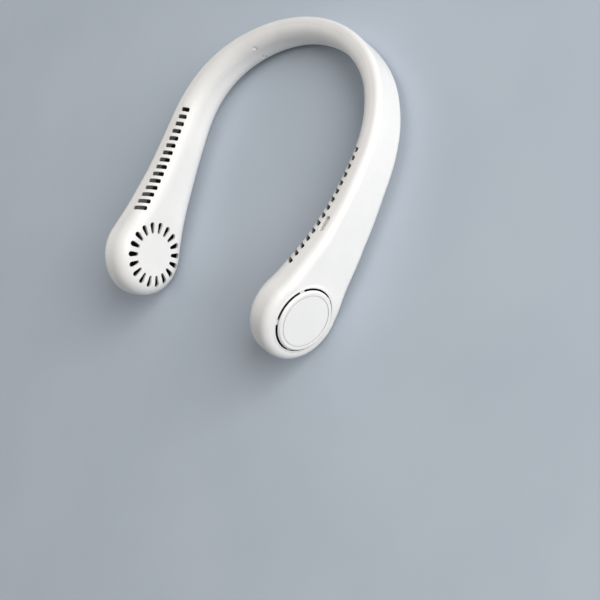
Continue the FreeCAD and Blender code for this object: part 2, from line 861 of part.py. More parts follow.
def usb_tongue():
    sink = "-(dim.socket_sink + dim.socket_depth) + dim.socket_skin * 2"
    body = new_body("tongue")
    outline = new_sketch(body, "tongue_outline", sink)
    rectangle(outline, "dim.tongue_length", "dim.tongue_width")
    pad(body, outline, "dim.tongue_depth")
    return body


keep("usb_socket", usb_socket(), PORT_FRAME)
keep("usb_tongue", usb_tongue(), PORT_FRAME)


# Boards
def control_board():
    body = new_body("control")
    outline = new_sketch(body, "control_outline", "0")
    rectangle(outline, "dim.board_length", "dim.board_height")
    for sign in ("-", ""):
        circle(outline, "dim.screw_radius + dim.fit_gap / 2", (f"{sign}dim.board_boss_spacing / 2", "0"))
    pad(body, outline, "dim.board_thickness")
    return body


def button_board():
    body = new_body("button_plate")
    outline = new_sketch(body, "button_plate_outline", f"{SWITCH_LOW} - dim.board_thickness")
    rectangle(outline, "dim.button_board_length", "dim.button_board_height")
    for sign in ("-", ""):
        circle(outline, "dim.screw_radius + dim.fit_gap / 2", ("0", f"{sign}dim.button_boss_spacing / 2"))
    pad(body, outline, "dim.board_thickness")
    return body


UPRIGHT = Placement(
    Vector(0, size("board_thickness"), size("board_height") / 2), Rotation(Vector(1, 0, 0), 90))
keep("control_board", control_board(), BOARD_FRAME.multiply(UPRIGHT))
keep("button_board", button_board(), BUTTON_FRAME)


def board_chips():
    """Controller chip and charging choke on the duct side of the control board."""
    side = size("chip_length")
    deep = size("chip_thickness")
    low = size("board_height") / 2 - side / 2
    chip = Part.makeBox(side, deep, side, Vector(-size("board_boss_spacing") / 4 - side / 2 - 1, -deep, low))
    choke = Part.makeCylinder(
        size("coil_pot_radius"), deep * 1.5,
        Vector(size("board_boss_spacing") / 4 + 1, 0, size("board_height") / 2), Vector(0, -1, 0))
    return Part.makeCompound([moved(chip, BOARD_FRAME), moved(choke, BOARD_FRAME)])


keep_shape("board_chips", board_chips())


def board_screw_frames():
    frames = []
    for frame in board_boss_frames():
        back = Placement(Vector(0, 0, -size("board_thickness")), Rotation(Vector(1, 0, 0), 180))
        frames.append(frame.multiply(back))
    for frame in button_boss_frames():
        back = Placement(Vector(0, 0, -size("board_thickness")), Rotation(Vector(1, 0, 0), 180))
        frames.append(frame.multiply(back))
    return frames


group("board_screws", SCREW.Shape, board_screw_frames())


# Power button, its switch and the plunger between them
def power_button():
    travel_room = "dim.wall + dim.button_gap + dim.button_proud"
    key = oblong("button_key", "dim.button_length", "dim.button_width", travel_room, FLANGE_TOP)
    flange = oblong(
        "button_flange", "dim.button_length + 2 * dim.flange_margin",
        "dim.button_width + 2 * dim.flange_margin", "dim.flange_thickness", FLANGE_LOW)
    blank = fuse("button_blank", key, flange)
    doc.recompute()
    crown = doc.addObject("Part::Fillet", "button_crown")
    crown.Base = blank
    top = size("button_proud")
    rim = [
        index for index, edge in enumerate(blank.Shape.Edges, start=1)
        if all(abs(vertex.Z - top) < 1e-6 for vertex in edge.Vertexes)
        and any(abs(vertex.Y) > size("button_width") / 2 - 1e-6 for vertex in edge.Vertexes)
        and outline_edge(edge)
    ]
    crown.Edges = [(index, size("button_crown"), size("button_crown")) for index in rim]
    return crown


def outline_edge(edge):
    """True for an edge on the rim of the button's top, false for a seam across it."""
    middle = edge.valueAt((edge.FirstParameter + edge.LastParameter) / 2)
    return abs(middle.y) > size("button_width") / 2 - 1e-6 or abs(middle.x) > size("button_length") / 2 - 1e-6


def button_switch():
    can = block("switch_can", "dim.switch_side", "dim.switch_side", "dim.switch_height", "0", "0", SWITCH_LOW)
    bore = cylinder("switch_bore", "dim.plunger_radius + dim.plunger_gap", "dim.switch_height", SWITCH_LOW)
    return cut("switch", can, bore)


def switch_plunger():
    reach = "dim.switch_clear + dim.switch_height - dim.button_travel - dim.button_gap"
    return rod("plunger", "dim.plunger_radius", reach, f"{FLANGE_LOW} - ({reach})")


keep("power_button", power_button(), BUTTON_FRAME)
keep("button_switch", button_switch(), BUTTON_FRAME)
keep("switch_plunger", switch_plunger(), BUTTON_FRAME)


# Battery cells
def battery_cell(name):
    can = cylinder(name + "_can", "dim.cell_radius", "dim.cell_length", "-dim.cell_length / 2")
    tip = cylinder(name + "_tip", "dim.cell_tip_radius", "dim.cell_tip_length", "dim.cell_length / 2")
    neck = tube(
        name + "_neck", "dim.cell_radius + 1", "dim.cell_radius - dim.cell_groove",
        "dim.cell_groove * 2", "dim.cell_length / 2 - 3")
    return cut(name, fuse(name + "_blank", can, tip), neck)


CELL_SAG = size("cell_length") ** 2 / (16 * size("side_radius"))
CELL_LEVEL = size("duct_floor_level") - size("cell_gap") - size("cell_radius")
for side_name, side in PODS.items():
    frame = arm_frame(side * size("cell_middle"), -CELL_SAG, CELL_LEVEL)
    along = Placement(Vector(0, 0, 0), Rotation(Vector(0, 1, 0), -90 * side))
    keep(f"{side_name}_battery_cell", battery_cell(side_name + "_cell"), frame.multiply(along))


# Wires: straight runs joined by tangent arcs
def bends(points):
    """Arc at each inner point, as large as its two runs allow: start, middle, end and radius."""
    arcs = []
    for before, corner, after in zip(points, points[1:], points[2:]):
        inward = (before - corner).normalize()
        outward = (after - corner).normalize()
        half_turn = (math.pi - inward.getAngle(outward)) / 2
        trim = 0.45 * min((before - corner).Length, (after - corner).Length)
        radius = trim / math.tan(half_turn)
        bisector = (inward + outward).normalize()
        near = corner + bisector * (radius / math.cos(half_turn) - radius)
        arcs.append((corner + inward * trim, near, corner + outward * trim, radius))
    return arcs


def route_wire(points):
    """Path through points, with every corner rounded."""
    edges = []
    start = points[0]
    for enter, near, leave, _ in bends(points):
        edges.append(Part.LineSegment(start, enter).toShape())
        edges.append(Part.Arc(enter, near, leave).toShape())
        start = leave
    edges.append(Part.LineSegment(start, points[-1]).toShape())
    return Part.Wire(edges)


def lead(points, radius):
    path = route_wire(points)
    start = points[0]
    ring = Part.Wire(Part.Circle(start, points[1] - start, radius).toShape())
    pipe = path.makePipeShell([ring], True, False)
    if abs(pipe.Volume / (math.pi * radius ** 2 * path.Length) - 1) > 0.01:
        raise RuntimeError("the volume of a lead does not match its section and length")
    return pipe


def motor_exit(side):
    """First points of a wire, from the edge of a motor base out of the volute to the arm's outer side."""
    high = size("lead_level")
    return [
        at(side * (LENGTH - 14.5), level(BASE) - size("lead_gap"), high - 0.5),
        at(side * (LENGTH - 24.0), -5.4, high),
        at(side * (LENGTH - 33.0), 0.0, high),
        at(side * (LENGTH - 40.5), 6.2, high),
    ]


LEFT_STOPS = ((156, 6.3), (136, 5.8), (116, 4.0), (94, 3.0), (70, 2.6), (46, 2.6), (23, 2.6))
RIGHT_STOPS = ((2, 2.6), (25, 2.6), (48, 2.6), (70, 2.6), (92, 3.0), (112, 4.0), (130, 5.6), (144, 6.2))


def neck_route():
    high = size("lead_level")
    points = motor_exit(-1)
    points += [at(-distance, offset, high) for distance, offset in LEFT_STOPS]
    points += [at(distance, offset, high) for distance, offset in RIGHT_STOPS]
    end = BOARD_OFFSET + size("board_thickness") / 2
    points.append(at(152, end, size("board_level") - size("lead_radius")))
    return points


def right_route():
    points = motor_exit(1)
    points.append(at(LENGTH - 47.0, 6.4, size("lead_level")))
    end = BOARD_OFFSET + size("board_thickness") / 2
    points.append(at(LENGTH - 52.0, end, size("board_level") - size("lead_radius")))
    return points


LEADS = {"neck_lead": neck_route(), "right_motor_lead": right_route()}
for label, points in LEADS.items():
    keep_shape(label, lead(points, size("lead_radius")))
LEAD_ROOM = [lead(points, size("lead_radius") + size("lead_gap")) for points in LEADS.values()]


# Air path pieces, shaped by the hollow of the shell
HOLLOW = band(size("wall") + size("fit_gap"))


def volute_wall():
    """Scroll round the right impeller that opens into the arm."""
    start = math.radians(size("volute_start"))
    wrap = math.radians(size("volute_wrap"))
    tongue = size("impeller_radius") + size("volute_gap")
    steps = 18

    def spiral(extra):
        points = []
        for step in range(steps + 1):
            share = step / steps
            turn = start - wrap * share
            radius = tongue + size("volute_growth") * share + extra
            points.append(Vector(radius * math.cos(turn), radius * math.sin(turn), 0))
        curve = Part.BSplineCurve()
        curve.interpolate(points)
        return curve.toShape(), points[0], points[-1]

    inside, first, last = spiral(0.0)
    outside, first_out, last_out = spiral(size("volute_wall"))
    ends = [Part.LineSegment(first, first_out).toShape(), Part.LineSegment(last, last_out).toShape()]
    face = Part.Face(Part.Wire(Part.__sortEdges__([inside, outside] + ends)))
    half = size("pod_thickness") / 2
    face.translate(Vector(0, 0, -half))
    return moved(face.extrude(Vector(0, 0, 2 * half)), pod_frame(1))


def duct_floor():
    """Shelf between the air duct and the battery bay, with a wall that ends the duct."""
    low = size("duct_floor_level")
    thick = size("duct_floor_thickness")
    start = size("duct_start")
    end = LENGTH - size("impeller_radius") - size("volute_gap") - size("volute_wall") - size("lead_gap")
    reach = size("pod_thickness")
    shelf = strip(start, end, -reach, reach, low, low + thick)
    dam = strip(start, start + thick, -reach, reach, low, low + FAR)
    return shelf.fuse(dam)


for piece, solid in (("volute_wall", volute_wall()), ("duct_floor", duct_floor())):
    right = solid.common(HOLLOW)
    left = mirrored(right)
    keep_shape(f"right_{piece}", right.cut(LEAD_ROOM))
    keep_shape(f"left_{piece}", left.cut(LEAD_ROOM))


# Housing shells
def outlet_slots():
    tools = []
    count = int(size("slot_count"))
    growth = (size("slot_last_length") - size("slot_first_length")) / (count - 1)
    for step in range(count):
        distance = size("slot_start") + step * size("slot_pitch")
        inner = corner_radii(distance)[0]
        high = middle_height(distance) + half_height(distance) - inner
        spot = arm_frame(distance, inner - thickness(distance) / 2, high)
        lean = Rotation(Vector(1, 0, 0), size("slot_lean"))
        skew = Rotation(UP, -size("slot_skew"))
        length = size("slot_first_length") + growth * step
        tool = rounded_block(
            size("slot_width"), length, size("slot_corner"), inner - size("slot_depth"), inner + size("wall"))
        tools.append(moved(tool, spot.multiply(Placement(Vector(0, 0, 0), lean.multiply(skew)))))
    return tools


def dimples():
    """Two round dimples, one above the other, each square to the inner face."""
    distance = size("dimple_distance")
    corner = corner_radii(distance)[0]
    flat = half_height(distance) - corner
    tools = []
    for end in (-1, 1):
        high = size("dimple_level") + end * size("dimple_spacing") / 2
        tilt = math.asin(max(abs(high) - flat, 0) / corner)
        sink = corner * (1 - math.cos(tilt))
        spot = arm_frame(distance, sink - thickness(distance) / 2, middle_height(distance) + high)
        turn = Rotation(Vector(1, 0, 0), 90 - end * math.degrees(tilt))
        place = spot.multiply(Placement(Vector(0, 0, 0), turn))
        tools.append(post(size("dimple_radius"), -size("dimple_depth"), size("wall"), place))
    return tools


def petal(length, inner_width, outer_width, low, high):
    """Slot along x with round ends, the far end the wider one."""
    near = inner_width / 2
    far = outer_width / 2
    reach = length - near - far
    slope = math.asin((far - near) / reach)
    left = Vector(-math.sin(slope), math.cos(slope), 0)
    right = Vector(-math.sin(slope), -math.cos(slope), 0)
    first = Vector(near, 0, low)
    last = Vector(near + reach, 0, low)
    edges = [
        Part.Arc(first + right * near, Vector(0, 0, low), first + left * near).toShape(),
        Part.LineSegment(first + left * near, last + left * far).toShape(),
        Part.Arc(last + left * far, Vector(length, 0, low), last + right * far).toShape(),
        Part.LineSegment(last + right * far, first + right * near).toShape(),
    ]
    return Part.Face(Part.Wire(edges)).extrude(Vector(0, 0, high - low))


def grille_slots():
    inside = size("grille_inner_radius")
    face = size("pod_thickness") / 2
    tool = petal(
        size("grille_outer_radius") - inside, size("grille_inner_width"), size("grille_outer_width"),
        -face - size("wall"), -face + 3 * size("wall"))
    tool.translate(Vector(inside, 0, 0))
    count = int(size("grille_count"))
    tools = []
    for step in range(count):
        spin = Rotation(UP, size("grille_turn") + 360.0 * step / count)
        tools.append(moved(tool, pod_frame(1).multiply(Placement(Vector(0, 0, 0), spin))))
    return tools


def post(radius, low, high, frame):
    return moved(Part.makeCylinder(radius, high - low, Vector(0, 0, low)), frame)


def neck_side():
    """Everything on the neck side of the parting line, for the right arm."""
    edges = offset_edges(0.0, LENGTH, size("parting_offset"))
    _, travel, _ = walk(LENGTH)
    end = at(LENGTH, size("parting_offset"), 0)
    tip = end + travel * FAR
    middle_top = at(0, size("parting_offset"), 0)
    middle_low = Vector(0, tip.y, 0)
    edges.append(Part.LineSegment(end, tip).toShape())
    edges.append(Part.LineSegment(tip, middle_low).toShape())
    edges.append(Part.LineSegment(middle_low, middle_top).toShape())
    face = Part.Face(Part.Wire(Part.__sortEdges__(edges)))
    face.translate(UP * -FAR)
    return face.extrude(UP * 2 * FAR)


def inner_shell(skin, region):
    right = skin.common(region).cut(outlet_slots() + grille_slots() + dimples())
    shell = right.fuse(mirrored(right))
    gap = size("button_gap")
    hole = oblong_solid(
        size("button_length") + 2 * gap, size("button_width") + 2 * gap, -3 * size("wall"), size("wall"))
    shell = shell.cut(moved(hole, BUTTON_FRAME))
    seat = level(SEAT)
    top = level(BASE)
    root = seat - size("wall") / 2 - top
    posts = [post(size("boss_radius"), root, 0, spot) for spot in ring_of_bosses(top)]
    depth = -level(SWITCH_LOW)
    posts += [post(size("small_boss_radius"), 0, depth, spot).common(CORE) for spot in button_boss_frames()]
    shell = shell.fuse(posts)
    pilot = size("screw_radius") + size("press_gap")
    deep = size("screw_length")
    pilots = [post(pilot, -deep, 1, spot) for spot in ring_of_bosses(level(BOARD))]
    pilots += [post(pilot, -1, deep, spot) for spot in button_boss_frames()]
    return shell.cut(pilots)


def oblong_solid(length, width, low, high):
    straight = length - width
    body = Part.makeBox(straight, width, high - low, Vector(-straight / 2, -width / 2, low))
    ends = [
        Part.makeCylinder(width / 2, high - low, Vector(sign * straight / 2, 0, low)) for sign in (-1, 1)
    ]
    return body.fuse(ends).removeSplitter()


def outer_shell(skin, region):
    shell = skin.cut([region, mirrored(region)])
    face = size("pod_thickness") / 2
    opening = size("cap_opening_radius")
    collar = Part.makeCone(
        opening + size("collar_width"), opening + size("collar_width") / 3,
        size("collar_height") + size("wall") / 2, Vector(0, 0, face - size("wall") / 2))
    collars = [moved(collar, pod_frame(side)) for side in PODS.values()]
    small = size("small_boss_radius")
    posts = [post(small, 0, BOARD_WALL, spot).common(CORE) for spot in board_boss_frames()]
    shell = shell.fuse(collars + posts)
    low = face - 3 * size("wall")
    tools = [post(opening, low, face + FAR / 10, pod_frame(side)) for side in PODS.values()]
    port = oblong_solid(size("port_length"), size("port_width"), -3 * size("wall"), size("wall"))
    tools.append(moved(port, PORT_FRAME))
    pilot = size("screw_radius") + size("press_gap")
    tools += [post(pilot, -1, size("screw_length"), spot) for spot in board_boss_frames()]
    return shell.cut(tools)


BOARD_WALL = thickness(BOARD_DISTANCE) / 2 - BOARD_OFFSET - size("board_thickness")
SKIN = BODY.cut(band(size("wall")))
NECK_SIDE = neck_side()
keep_shape("inner_shell", inner_shell(SKIN, NECK_SIDE))
keep_shape("outer_shell", outer_shell(SKIN, NECK_SIDE))

# Check every object, then write one file for each sub-part
doc.recompute()
for obj in doc.Objects:
    if "Invalid" in obj.State or "Error" in obj.State:
        raise RuntimeError(f"{obj.Name} did not build: {obj.State}")
for label, obj in nodes.items():
    if obj.Shape.isNull() or not obj.Shape.isValid():
        raise RuntimeError(f"{label} has no valid shape")
os.makedirs("parts", exist_ok=True)
for label, obj in nodes.items():
    obj.Shape.exportStep(f"parts/{label}.step")
    box = obj.Shape.BoundBox
    print(f"{label}: {len(obj.Shape.Solids)} solids, {obj.Shape.Volume:.1f} mm3, top {box.ZMax:.1f}")
for label, points in LEADS.items():
    radii = ", ".join(f"{radius:.1f}" for _, _, _, radius in bends(points))
    print(f"{label} bend radii: {radii}")
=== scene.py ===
import json
import math

import bpy
from mathutils import Matrix, Vector

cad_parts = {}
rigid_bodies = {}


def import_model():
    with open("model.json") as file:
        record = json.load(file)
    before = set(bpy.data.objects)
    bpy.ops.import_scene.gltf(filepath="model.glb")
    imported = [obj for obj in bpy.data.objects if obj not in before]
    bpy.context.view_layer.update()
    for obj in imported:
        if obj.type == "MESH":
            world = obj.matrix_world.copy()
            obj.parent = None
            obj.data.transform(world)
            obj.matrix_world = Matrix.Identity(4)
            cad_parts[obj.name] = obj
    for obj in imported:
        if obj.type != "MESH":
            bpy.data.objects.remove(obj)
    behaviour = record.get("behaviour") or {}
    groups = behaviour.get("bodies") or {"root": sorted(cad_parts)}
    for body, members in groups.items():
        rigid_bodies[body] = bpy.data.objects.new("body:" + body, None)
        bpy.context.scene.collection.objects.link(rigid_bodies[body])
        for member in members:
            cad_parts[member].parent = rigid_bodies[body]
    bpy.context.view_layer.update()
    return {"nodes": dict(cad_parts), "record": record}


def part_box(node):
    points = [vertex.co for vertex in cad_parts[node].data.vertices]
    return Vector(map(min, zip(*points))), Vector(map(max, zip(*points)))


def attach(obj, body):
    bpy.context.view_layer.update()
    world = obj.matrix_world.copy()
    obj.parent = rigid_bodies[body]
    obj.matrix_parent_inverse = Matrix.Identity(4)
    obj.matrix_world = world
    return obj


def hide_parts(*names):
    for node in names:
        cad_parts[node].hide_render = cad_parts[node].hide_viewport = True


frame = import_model()
scene = bpy.context.scene
nodes = frame["nodes"]
record = frame["record"]
MM = 0.001


def feed(tree, socket, value):
    """Link an input to another node's output, or give it a plain value."""
    if isinstance(value, bpy.types.NodeSocket):
        tree.links.new(value, socket)
    else:
        socket.default_value = value


def add_node(tree, kind, inputs):
    """New node with its inputs fed by name, where an underscore stands for a space."""
    node = tree.nodes.new(kind)
    for name, value in inputs.items():
        feed(tree, node.inputs[name.replace("_", " ")], value)
    return node


# Finishes
# Part of the range from 0 to 1 that most of a noise lies in
NOISE_RANGE = (0.35, 0.65)
EDGE_SAMPLES = 4


class Finish:
    """One material and short calls for the nodes in it."""

    def __init__(self, name, metallic=0.0):
        self.material = bpy.data.materials.new(name)
        self.material.use_nodes = True
        self.tree = self.material.node_tree
        self.shader = self.tree.nodes["Principled BSDF"]
        self.set(Metallic=metallic)
        self.place = self.tree.nodes.new("ShaderNodeTexCoord").outputs["Object"]

    def node(self, kind, **inputs):
        return add_node(self.tree, kind, inputs)

    def noise(self, scale, detail=3.0, source=None):
        node = self.node("ShaderNodeTexNoise", Vector=source or self.place, Scale=scale, Detail=detail)
        return node.outputs["Fac"]

    def stretched(self, scale):
        return self.node("ShaderNodeMapping", Vector=self.place, Scale=scale).outputs["Vector"]

    def streaks(self, scale, detail):
        """Noise with its own scale along each axis."""
        return self.noise(1.0, detail, self.stretched(scale))

    def span(self, value, limits, across=NOISE_RANGE):
        """Number that runs between two limits as a value rises across a range."""
        node = self.node(
            "ShaderNodeMapRange", Value=value,
            From_Min=across[0], From_Max=across[1], To_Min=limits[0], To_Max=limits[1])
        return node.outputs["Result"]

    def blend(self, value, colours, across=NOISE_RANGE):
        """Colour that runs from one to the other as a value rises across a range."""
        node = self.node("ShaderNodeValToRGB", Fac=value)
        for element, place, colour in zip(node.color_ramp.elements, across, colours):
            element.position = place
            element.color = (*colour, 1.0)
        return node.outputs["Color"]

    def darken(self, colour, share):
        """Colour times a share from 0 to 1."""
        node = self.node("ShaderNodeMix")
        node.data_type = "RGBA"
        node.blend_type = "MULTIPLY"
        for name, value in (("Factor", 1.0), ("A", colour), ("B", share)):
            feed(self.tree, node.inputs[name], value)
        return node.outputs["Result"]

    def paint(self, colour):
        feed(self.tree, self.shader.inputs["Base Color"], colour)

    def rough(self, value, limits):
        feed(self.tree, self.shader.inputs["Roughness"], self.span(value, limits))

    def bump(self, height, strength, depth, edge=0.0):
        """Fine relief; edge is the radius by which sharp corners look eased."""
        node = self.node("ShaderNodeBump", Height=height, Strength=strength, Distance=depth)
        if edge:
            eased = self.node("ShaderNodeBevel", Radius=edge)
            eased.samples = EDGE_SAMPLES
            feed(self.tree, node.inputs["Normal"], eased.outputs["Normal"])
        feed(self.tree, self.shader.inputs["Normal"], node.outputs["Normal"])

    def set(self, **values):
        """Constants on the shader's own sockets."""
        for name, value in values.items():
            self.shader.inputs[name.replace("_", " ")].default_value = value


GRAIN_DEPTH = 0.1 * MM
WEAVE_DEPTH = 0.06 * MM
FINE_DEPTH = 0.05 * MM
EASED_EDGE = 0.3 * MM
# Painted shade: white walls are painted darker in hollows, from ambient occlusion; up to the first
# openness they keep the first share of their brightness, and from the second openness on they keep all of
# it
PAINTED_SHADE_REACH = 22 * MM
PAINTED_SHADE_SAMPLES = 16
PAINTED_SHADE_OPENNESS = (0.18, 0.42)
PAINTED_SHADE_BRIGHTNESS = (0.32, 1.0)


def moulded_white(name, colours, rough, coat, grain=0.05, painted_hollow_shade=True):
    """Satin white moulding: faint flow marks, a fine eroded grain, eased edges, and painted shade that
    darkens the inside and other hollows.
    """
    finish = Finish(name)
    flow = finish.streaks((55, 25, 55), detail=4)
    white = finish.blend(flow, colours)
    if painted_hollow_shade:
        # Painted shade: the white base colour is darkened where ambient occlusion finds hollows, such as
        # inside the shells and the slit round the cap
        shade_probe = finish.node("ShaderNodeAmbientOcclusion", Distance=PAINTED_SHADE_REACH)
        shade_probe.samples = PAINTED_SHADE_SAMPLES
        white = finish.darken(white, finish.span(shade_probe.outputs["AO"], PAINTED_SHADE_BRIGHTNESS, PAINTED_SHADE_OPENNESS))
    finish.paint(white)
    finish.rough(finish.noise(420, detail=2), rough)
    finish.bump(finish.noise(2600, detail=2), strength=grain, depth=GRAIN_DEPTH, edge=EASED_EDGE)
    finish.set(Coat_Weight=coat, Coat_Roughness=0.3, IOR=1.48)
    return finish.material


def dull_plastic(name, colours, grain=1500):
    """Unpainted inner moulding with a coarse grain."""
    finish = Finish(name)
    finish.paint(finish.blend(finish.noise(180), colours))
    finish.rough(finish.noise(500, detail=2), (0.55, 0.72))
    finish.bump(finish.noise(grain, detail=2), strength=0.15, depth=GRAIN_DEPTH)
    return finish.material


def drawn_metal(name, colours, rough=(0.24, 0.42), lines=(900, 900, 60), metallic=1.0):
    """Metal with fine drawing lines."""
    finish = Finish(name, metallic)
    grain = finish.streaks(lines, detail=3)
    finish.paint(finish.blend(grain, colours))
    finish.rough(grain, rough)
    finish.bump(grain, strength=0.08, depth=FINE_DEPTH)
    return finish.material


def circuit_board(name, mask, tracks):
    """Solder mask with a faint weave and lighter tracks under it."""
    finish = Finish(name)
    finish.paint(finish.blend(finish.noise(320, detail=1), (mask, tracks), across=(0.46, 0.54)))
    finish.rough(finish.noise(900, detail=2), (0.28, 0.42))
    finish.bump(finish.noise(1800, detail=1), strength=0.12, depth=WEAVE_DEPTH)
    return finish.material


def lacquered_copper(name, colours):
    """Enamelled winding wire."""
    finish = Finish(name, metallic=1.0)
    lacquer = finish.noise(900)
    finish.paint(finish.blend(lacquer, colours))
    finish.rough(lacquer, (0.22, 0.36))
    finish.bump(lacquer, strength=0.1, depth=FINE_DEPTH)
    finish.set(Coat_Weight=0.4, Coat_Roughness=0.15)
    return finish.material


def cell_film(name, colours):
    """Shrink film on a battery cell, slightly wrinkled."""
    finish = Finish(name)
    wrinkle = finish.streaks((400, 120, 400), detail=3)
    finish.paint(finish.blend(wrinkle, colours))
    finish.rough(wrinkle, (0.22, 0.38))
    finish.bump(wrinkle, strength=0.2, depth=GRAIN_DEPTH)
    return finish.material


def lead_skin(name, colours):
    """Soft wire insulation."""
    finish = Finish(name)
    finish.paint(finish.blend(finish.noise(600, detail=2), colours))
    finish.rough(finish.noise(900, detail=2), (0.42, 0.6))
    finish.bump(finish.noise(2400, detail=2), strength=0.1, depth=FINE_DEPTH)
    return finish.material


# One finish for each material slot of the record
FINISHES = {
    "shell_white": moulded_white(
        "shell_moulding", ((0.86, 0.856, 0.85), (0.9, 0.895, 0.888)), rough=(0.38, 0.5), coat=0.08),
    "cap_white": moulded_white(
        "cap_moulding", ((0.88, 0.876, 0.87), (0.91, 0.905, 0.898)), rough=(0.34, 0.44), coat=0.1,
        grain=0.015),
    "button_white": moulded_white(
        "button_moulding", ((0.76, 0.76, 0.755), (0.81, 0.808, 0.8)), rough=(0.32, 0.42), coat=0.15),
    "dark_plastic": dull_plastic(
        "black_duct_moulding", ((0.006, 0.006, 0.007), (0.012, 0.012, 0.013))),
    "wheel_plastic": dull_plastic(
        "blower_wheel_moulding", ((0.01, 0.01, 0.011), (0.018, 0.018, 0.02)), grain=1900),
    "board_green": circuit_board("green_board", mask=(0.012, 0.115, 0.05), tracks=(0.03, 0.2, 0.09)),
    "chip_black": dull_plastic("chip_body", ((0.008, 0.008, 0.009), (0.016, 0.016, 0.017)), grain=2600),
    "steel": drawn_metal("drawn_steel", ((0.46, 0.47, 0.48), (0.6, 0.61, 0.62))),
    "core_steel": drawn_metal(
        "stacked_core_sheets", ((0.2, 0.2, 0.21), (0.32, 0.32, 0.33)), rough=(0.35, 0.5),
        lines=(300, 2500, 300)),
    "magnet": dull_plastic("pressed_magnet", ((0.02, 0.02, 0.022), (0.045, 0.045, 0.05)), grain=2200),
    "bronze": drawn_metal("bearing_bronze", ((0.42, 0.24, 0.09), (0.55, 0.34, 0.15)), rough=(0.3, 0.48)),
    "copper": lacquered_copper("winding_wire", ((0.42, 0.15, 0.05), (0.68, 0.28, 0.11))),
    "cell_wrap": cell_film("cell_shrink_film", ((0.02, 0.1, 0.22), (0.04, 0.15, 0.3))),
    "lead_rubber": lead_skin("red_lead_skin", ((0.2, 0.01, 0.012), (0.32, 0.02, 0.02))),
}
# The socket's own finishes
TONGUE_WHITE = moulded_white(
    "tongue_white", ((0.82, 0.82, 0.81), (0.88, 0.88, 0.87)), rough=(0.4, 0.5), coat=0.0, painted_hollow_shade=False)
BRIGHT_NICKEL = drawn_metal(
    "bright_nickel", ((0.8, 0.8, 0.79), (0.88, 0.88, 0.87)), rough=(0.4, 0.55), metallic=0.3)
CONTACT_GOLD = drawn_metal("contact_gold", ((0.7, 0.5, 0.2), (0.85, 0.64, 0.3)), rough=(0.18, 0.3))

for entry in record["subparts"]:
    mesh = nodes[entry["node"]].data
    mesh.materials.clear()
    mesh.materials.append(FINISHES[entry["material_slot"]])
nodes["usb_socket"].data.materials[0] = BRIGHT_NICKEL
nodes["usb_tongue"].data.materials[0] = TONGUE_WHITE


# Pieces that repeat, each from one geometry node tree
class Tree:
    """A geometry node tree with named inputs for its sizes."""

    def __init__(self, name):
        self.group = bpy.data.node_groups.new(name, "GeometryNodeTree")
        self.ids = {}
        self.socket("Geometry", "INPUT", "NodeSocketGeometry")
        self.socket("Geometry", "OUTPUT", "NodeSocketGeometry")
        self.entry = self.group.nodes.new("NodeGroupInput")
        self.exit = self.group.nodes.new("NodeGroupOutput")

    def socket(self, name, way, kind):
        return self.group.interface.new_socket(name=name, in_out=way, socket_type=kind)

    def size(self, name, kind="NodeSocketFloat"):
        self.ids[name] = self.socket(name, "INPUT", kind).identifier
        return self.entry.outputs[name]

    def node(self, kind, **inputs):
        return add_node(self.group, kind, inputs)

    def vector(self, **parts):
        return self.node("ShaderNodeCombineXYZ", **parts).outputs["Vector"]

    def times(self, first, second):
        node = self.node("ShaderNodeMath")
        node.operation = "MULTIPLY"
        for socket, value in zip(node.inputs, (first, second)):
            feed(self.group, socket, value)
        return node.outputs["Value"]

    def end(self, geometry, material):
        real = self.node("GeometryNodeRealizeInstances", Geometry=geometry).outputs["Geometry"]
        coat = self.node("GeometryNodeSetMaterial", Geometry=real, Material=material)
        feed(self.group, self.exit.inputs["Geometry"], coat.outputs["Geometry"])

    def piece(self, name, start, sizes, placement):
        """Run the tree on a starting mesh and keep the result as a plain mesh in its place."""
        source = bpy.data.objects.new(name, start)
        scene.collection.objects.link(source)
        modifier = source.modifiers.new(self.group.name, "NODES")
        modifier.node_group = self.group
        for size_name, value in sizes.items():
            modifier[self.ids[size_name]] = value
        graph = bpy.context.evaluated_depsgraph_get()
        mesh = bpy.data.meshes.new_from_object(source.evaluated_get(graph))
        source.modifiers.remove(modifier)
        material = mesh.materials[-1]
        mesh.materials.clear()
        mesh.materials.append(material)
        mesh.polygons.foreach_set("material_index", [0] * len(mesh.polygons))
        mesh.transform(placement)
        mesh.name = name
        source.data = mesh
        return source


def placing(origin, x_way, y_way, z_way):
    """Matrix that puts a piece drawn about the origin into the part."""
    turn = Matrix((x_way, y_way, z_way)).transposed()
    return Matrix.Translation(origin) @ turn.to_4x4()


def middle_of(node):
    low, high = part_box(node)
    return (Vector(low) + Vector(high)) / 2


MOUNT_AXES = {mount["name"]: Vector(mount["axis"]).normalized() for mount in record["mounts"]}
PORT_AXIS = MOUNT_AXES["usb_port"]
SPIN_AXES = {
    joint["child"]: Vector(joint["axis"]).normalized()
    for joint in record["behaviour"]["joints"] if joint["type"] == "hinge"
}

# Motor windings: round wire in two layers on each tooth of a stator
WIRE_RADIUS = 0.19 * MM
WIRE_SIDES = 6
TURNS = 6
TURN_POINTS = 20
TOOTH_COUNT = 6
COIL_NEAR = 4.75 * MM
COIL_FAR = 6.9 * MM
# Half width and half height of each layer of turns round a tooth
LAYERS = ((1.2 * MM, 2.0 * MM), (1.58 * MM, 2.36 * MM))
# The nearer to zero, the squarer the turns
TURN_POWER = 0.4


def squared(value):
    """Push a sine towards plus or minus one, so that a circle becomes a rounded rectangle."""
    return math.copysign(abs(value) ** TURN_POWER, value)


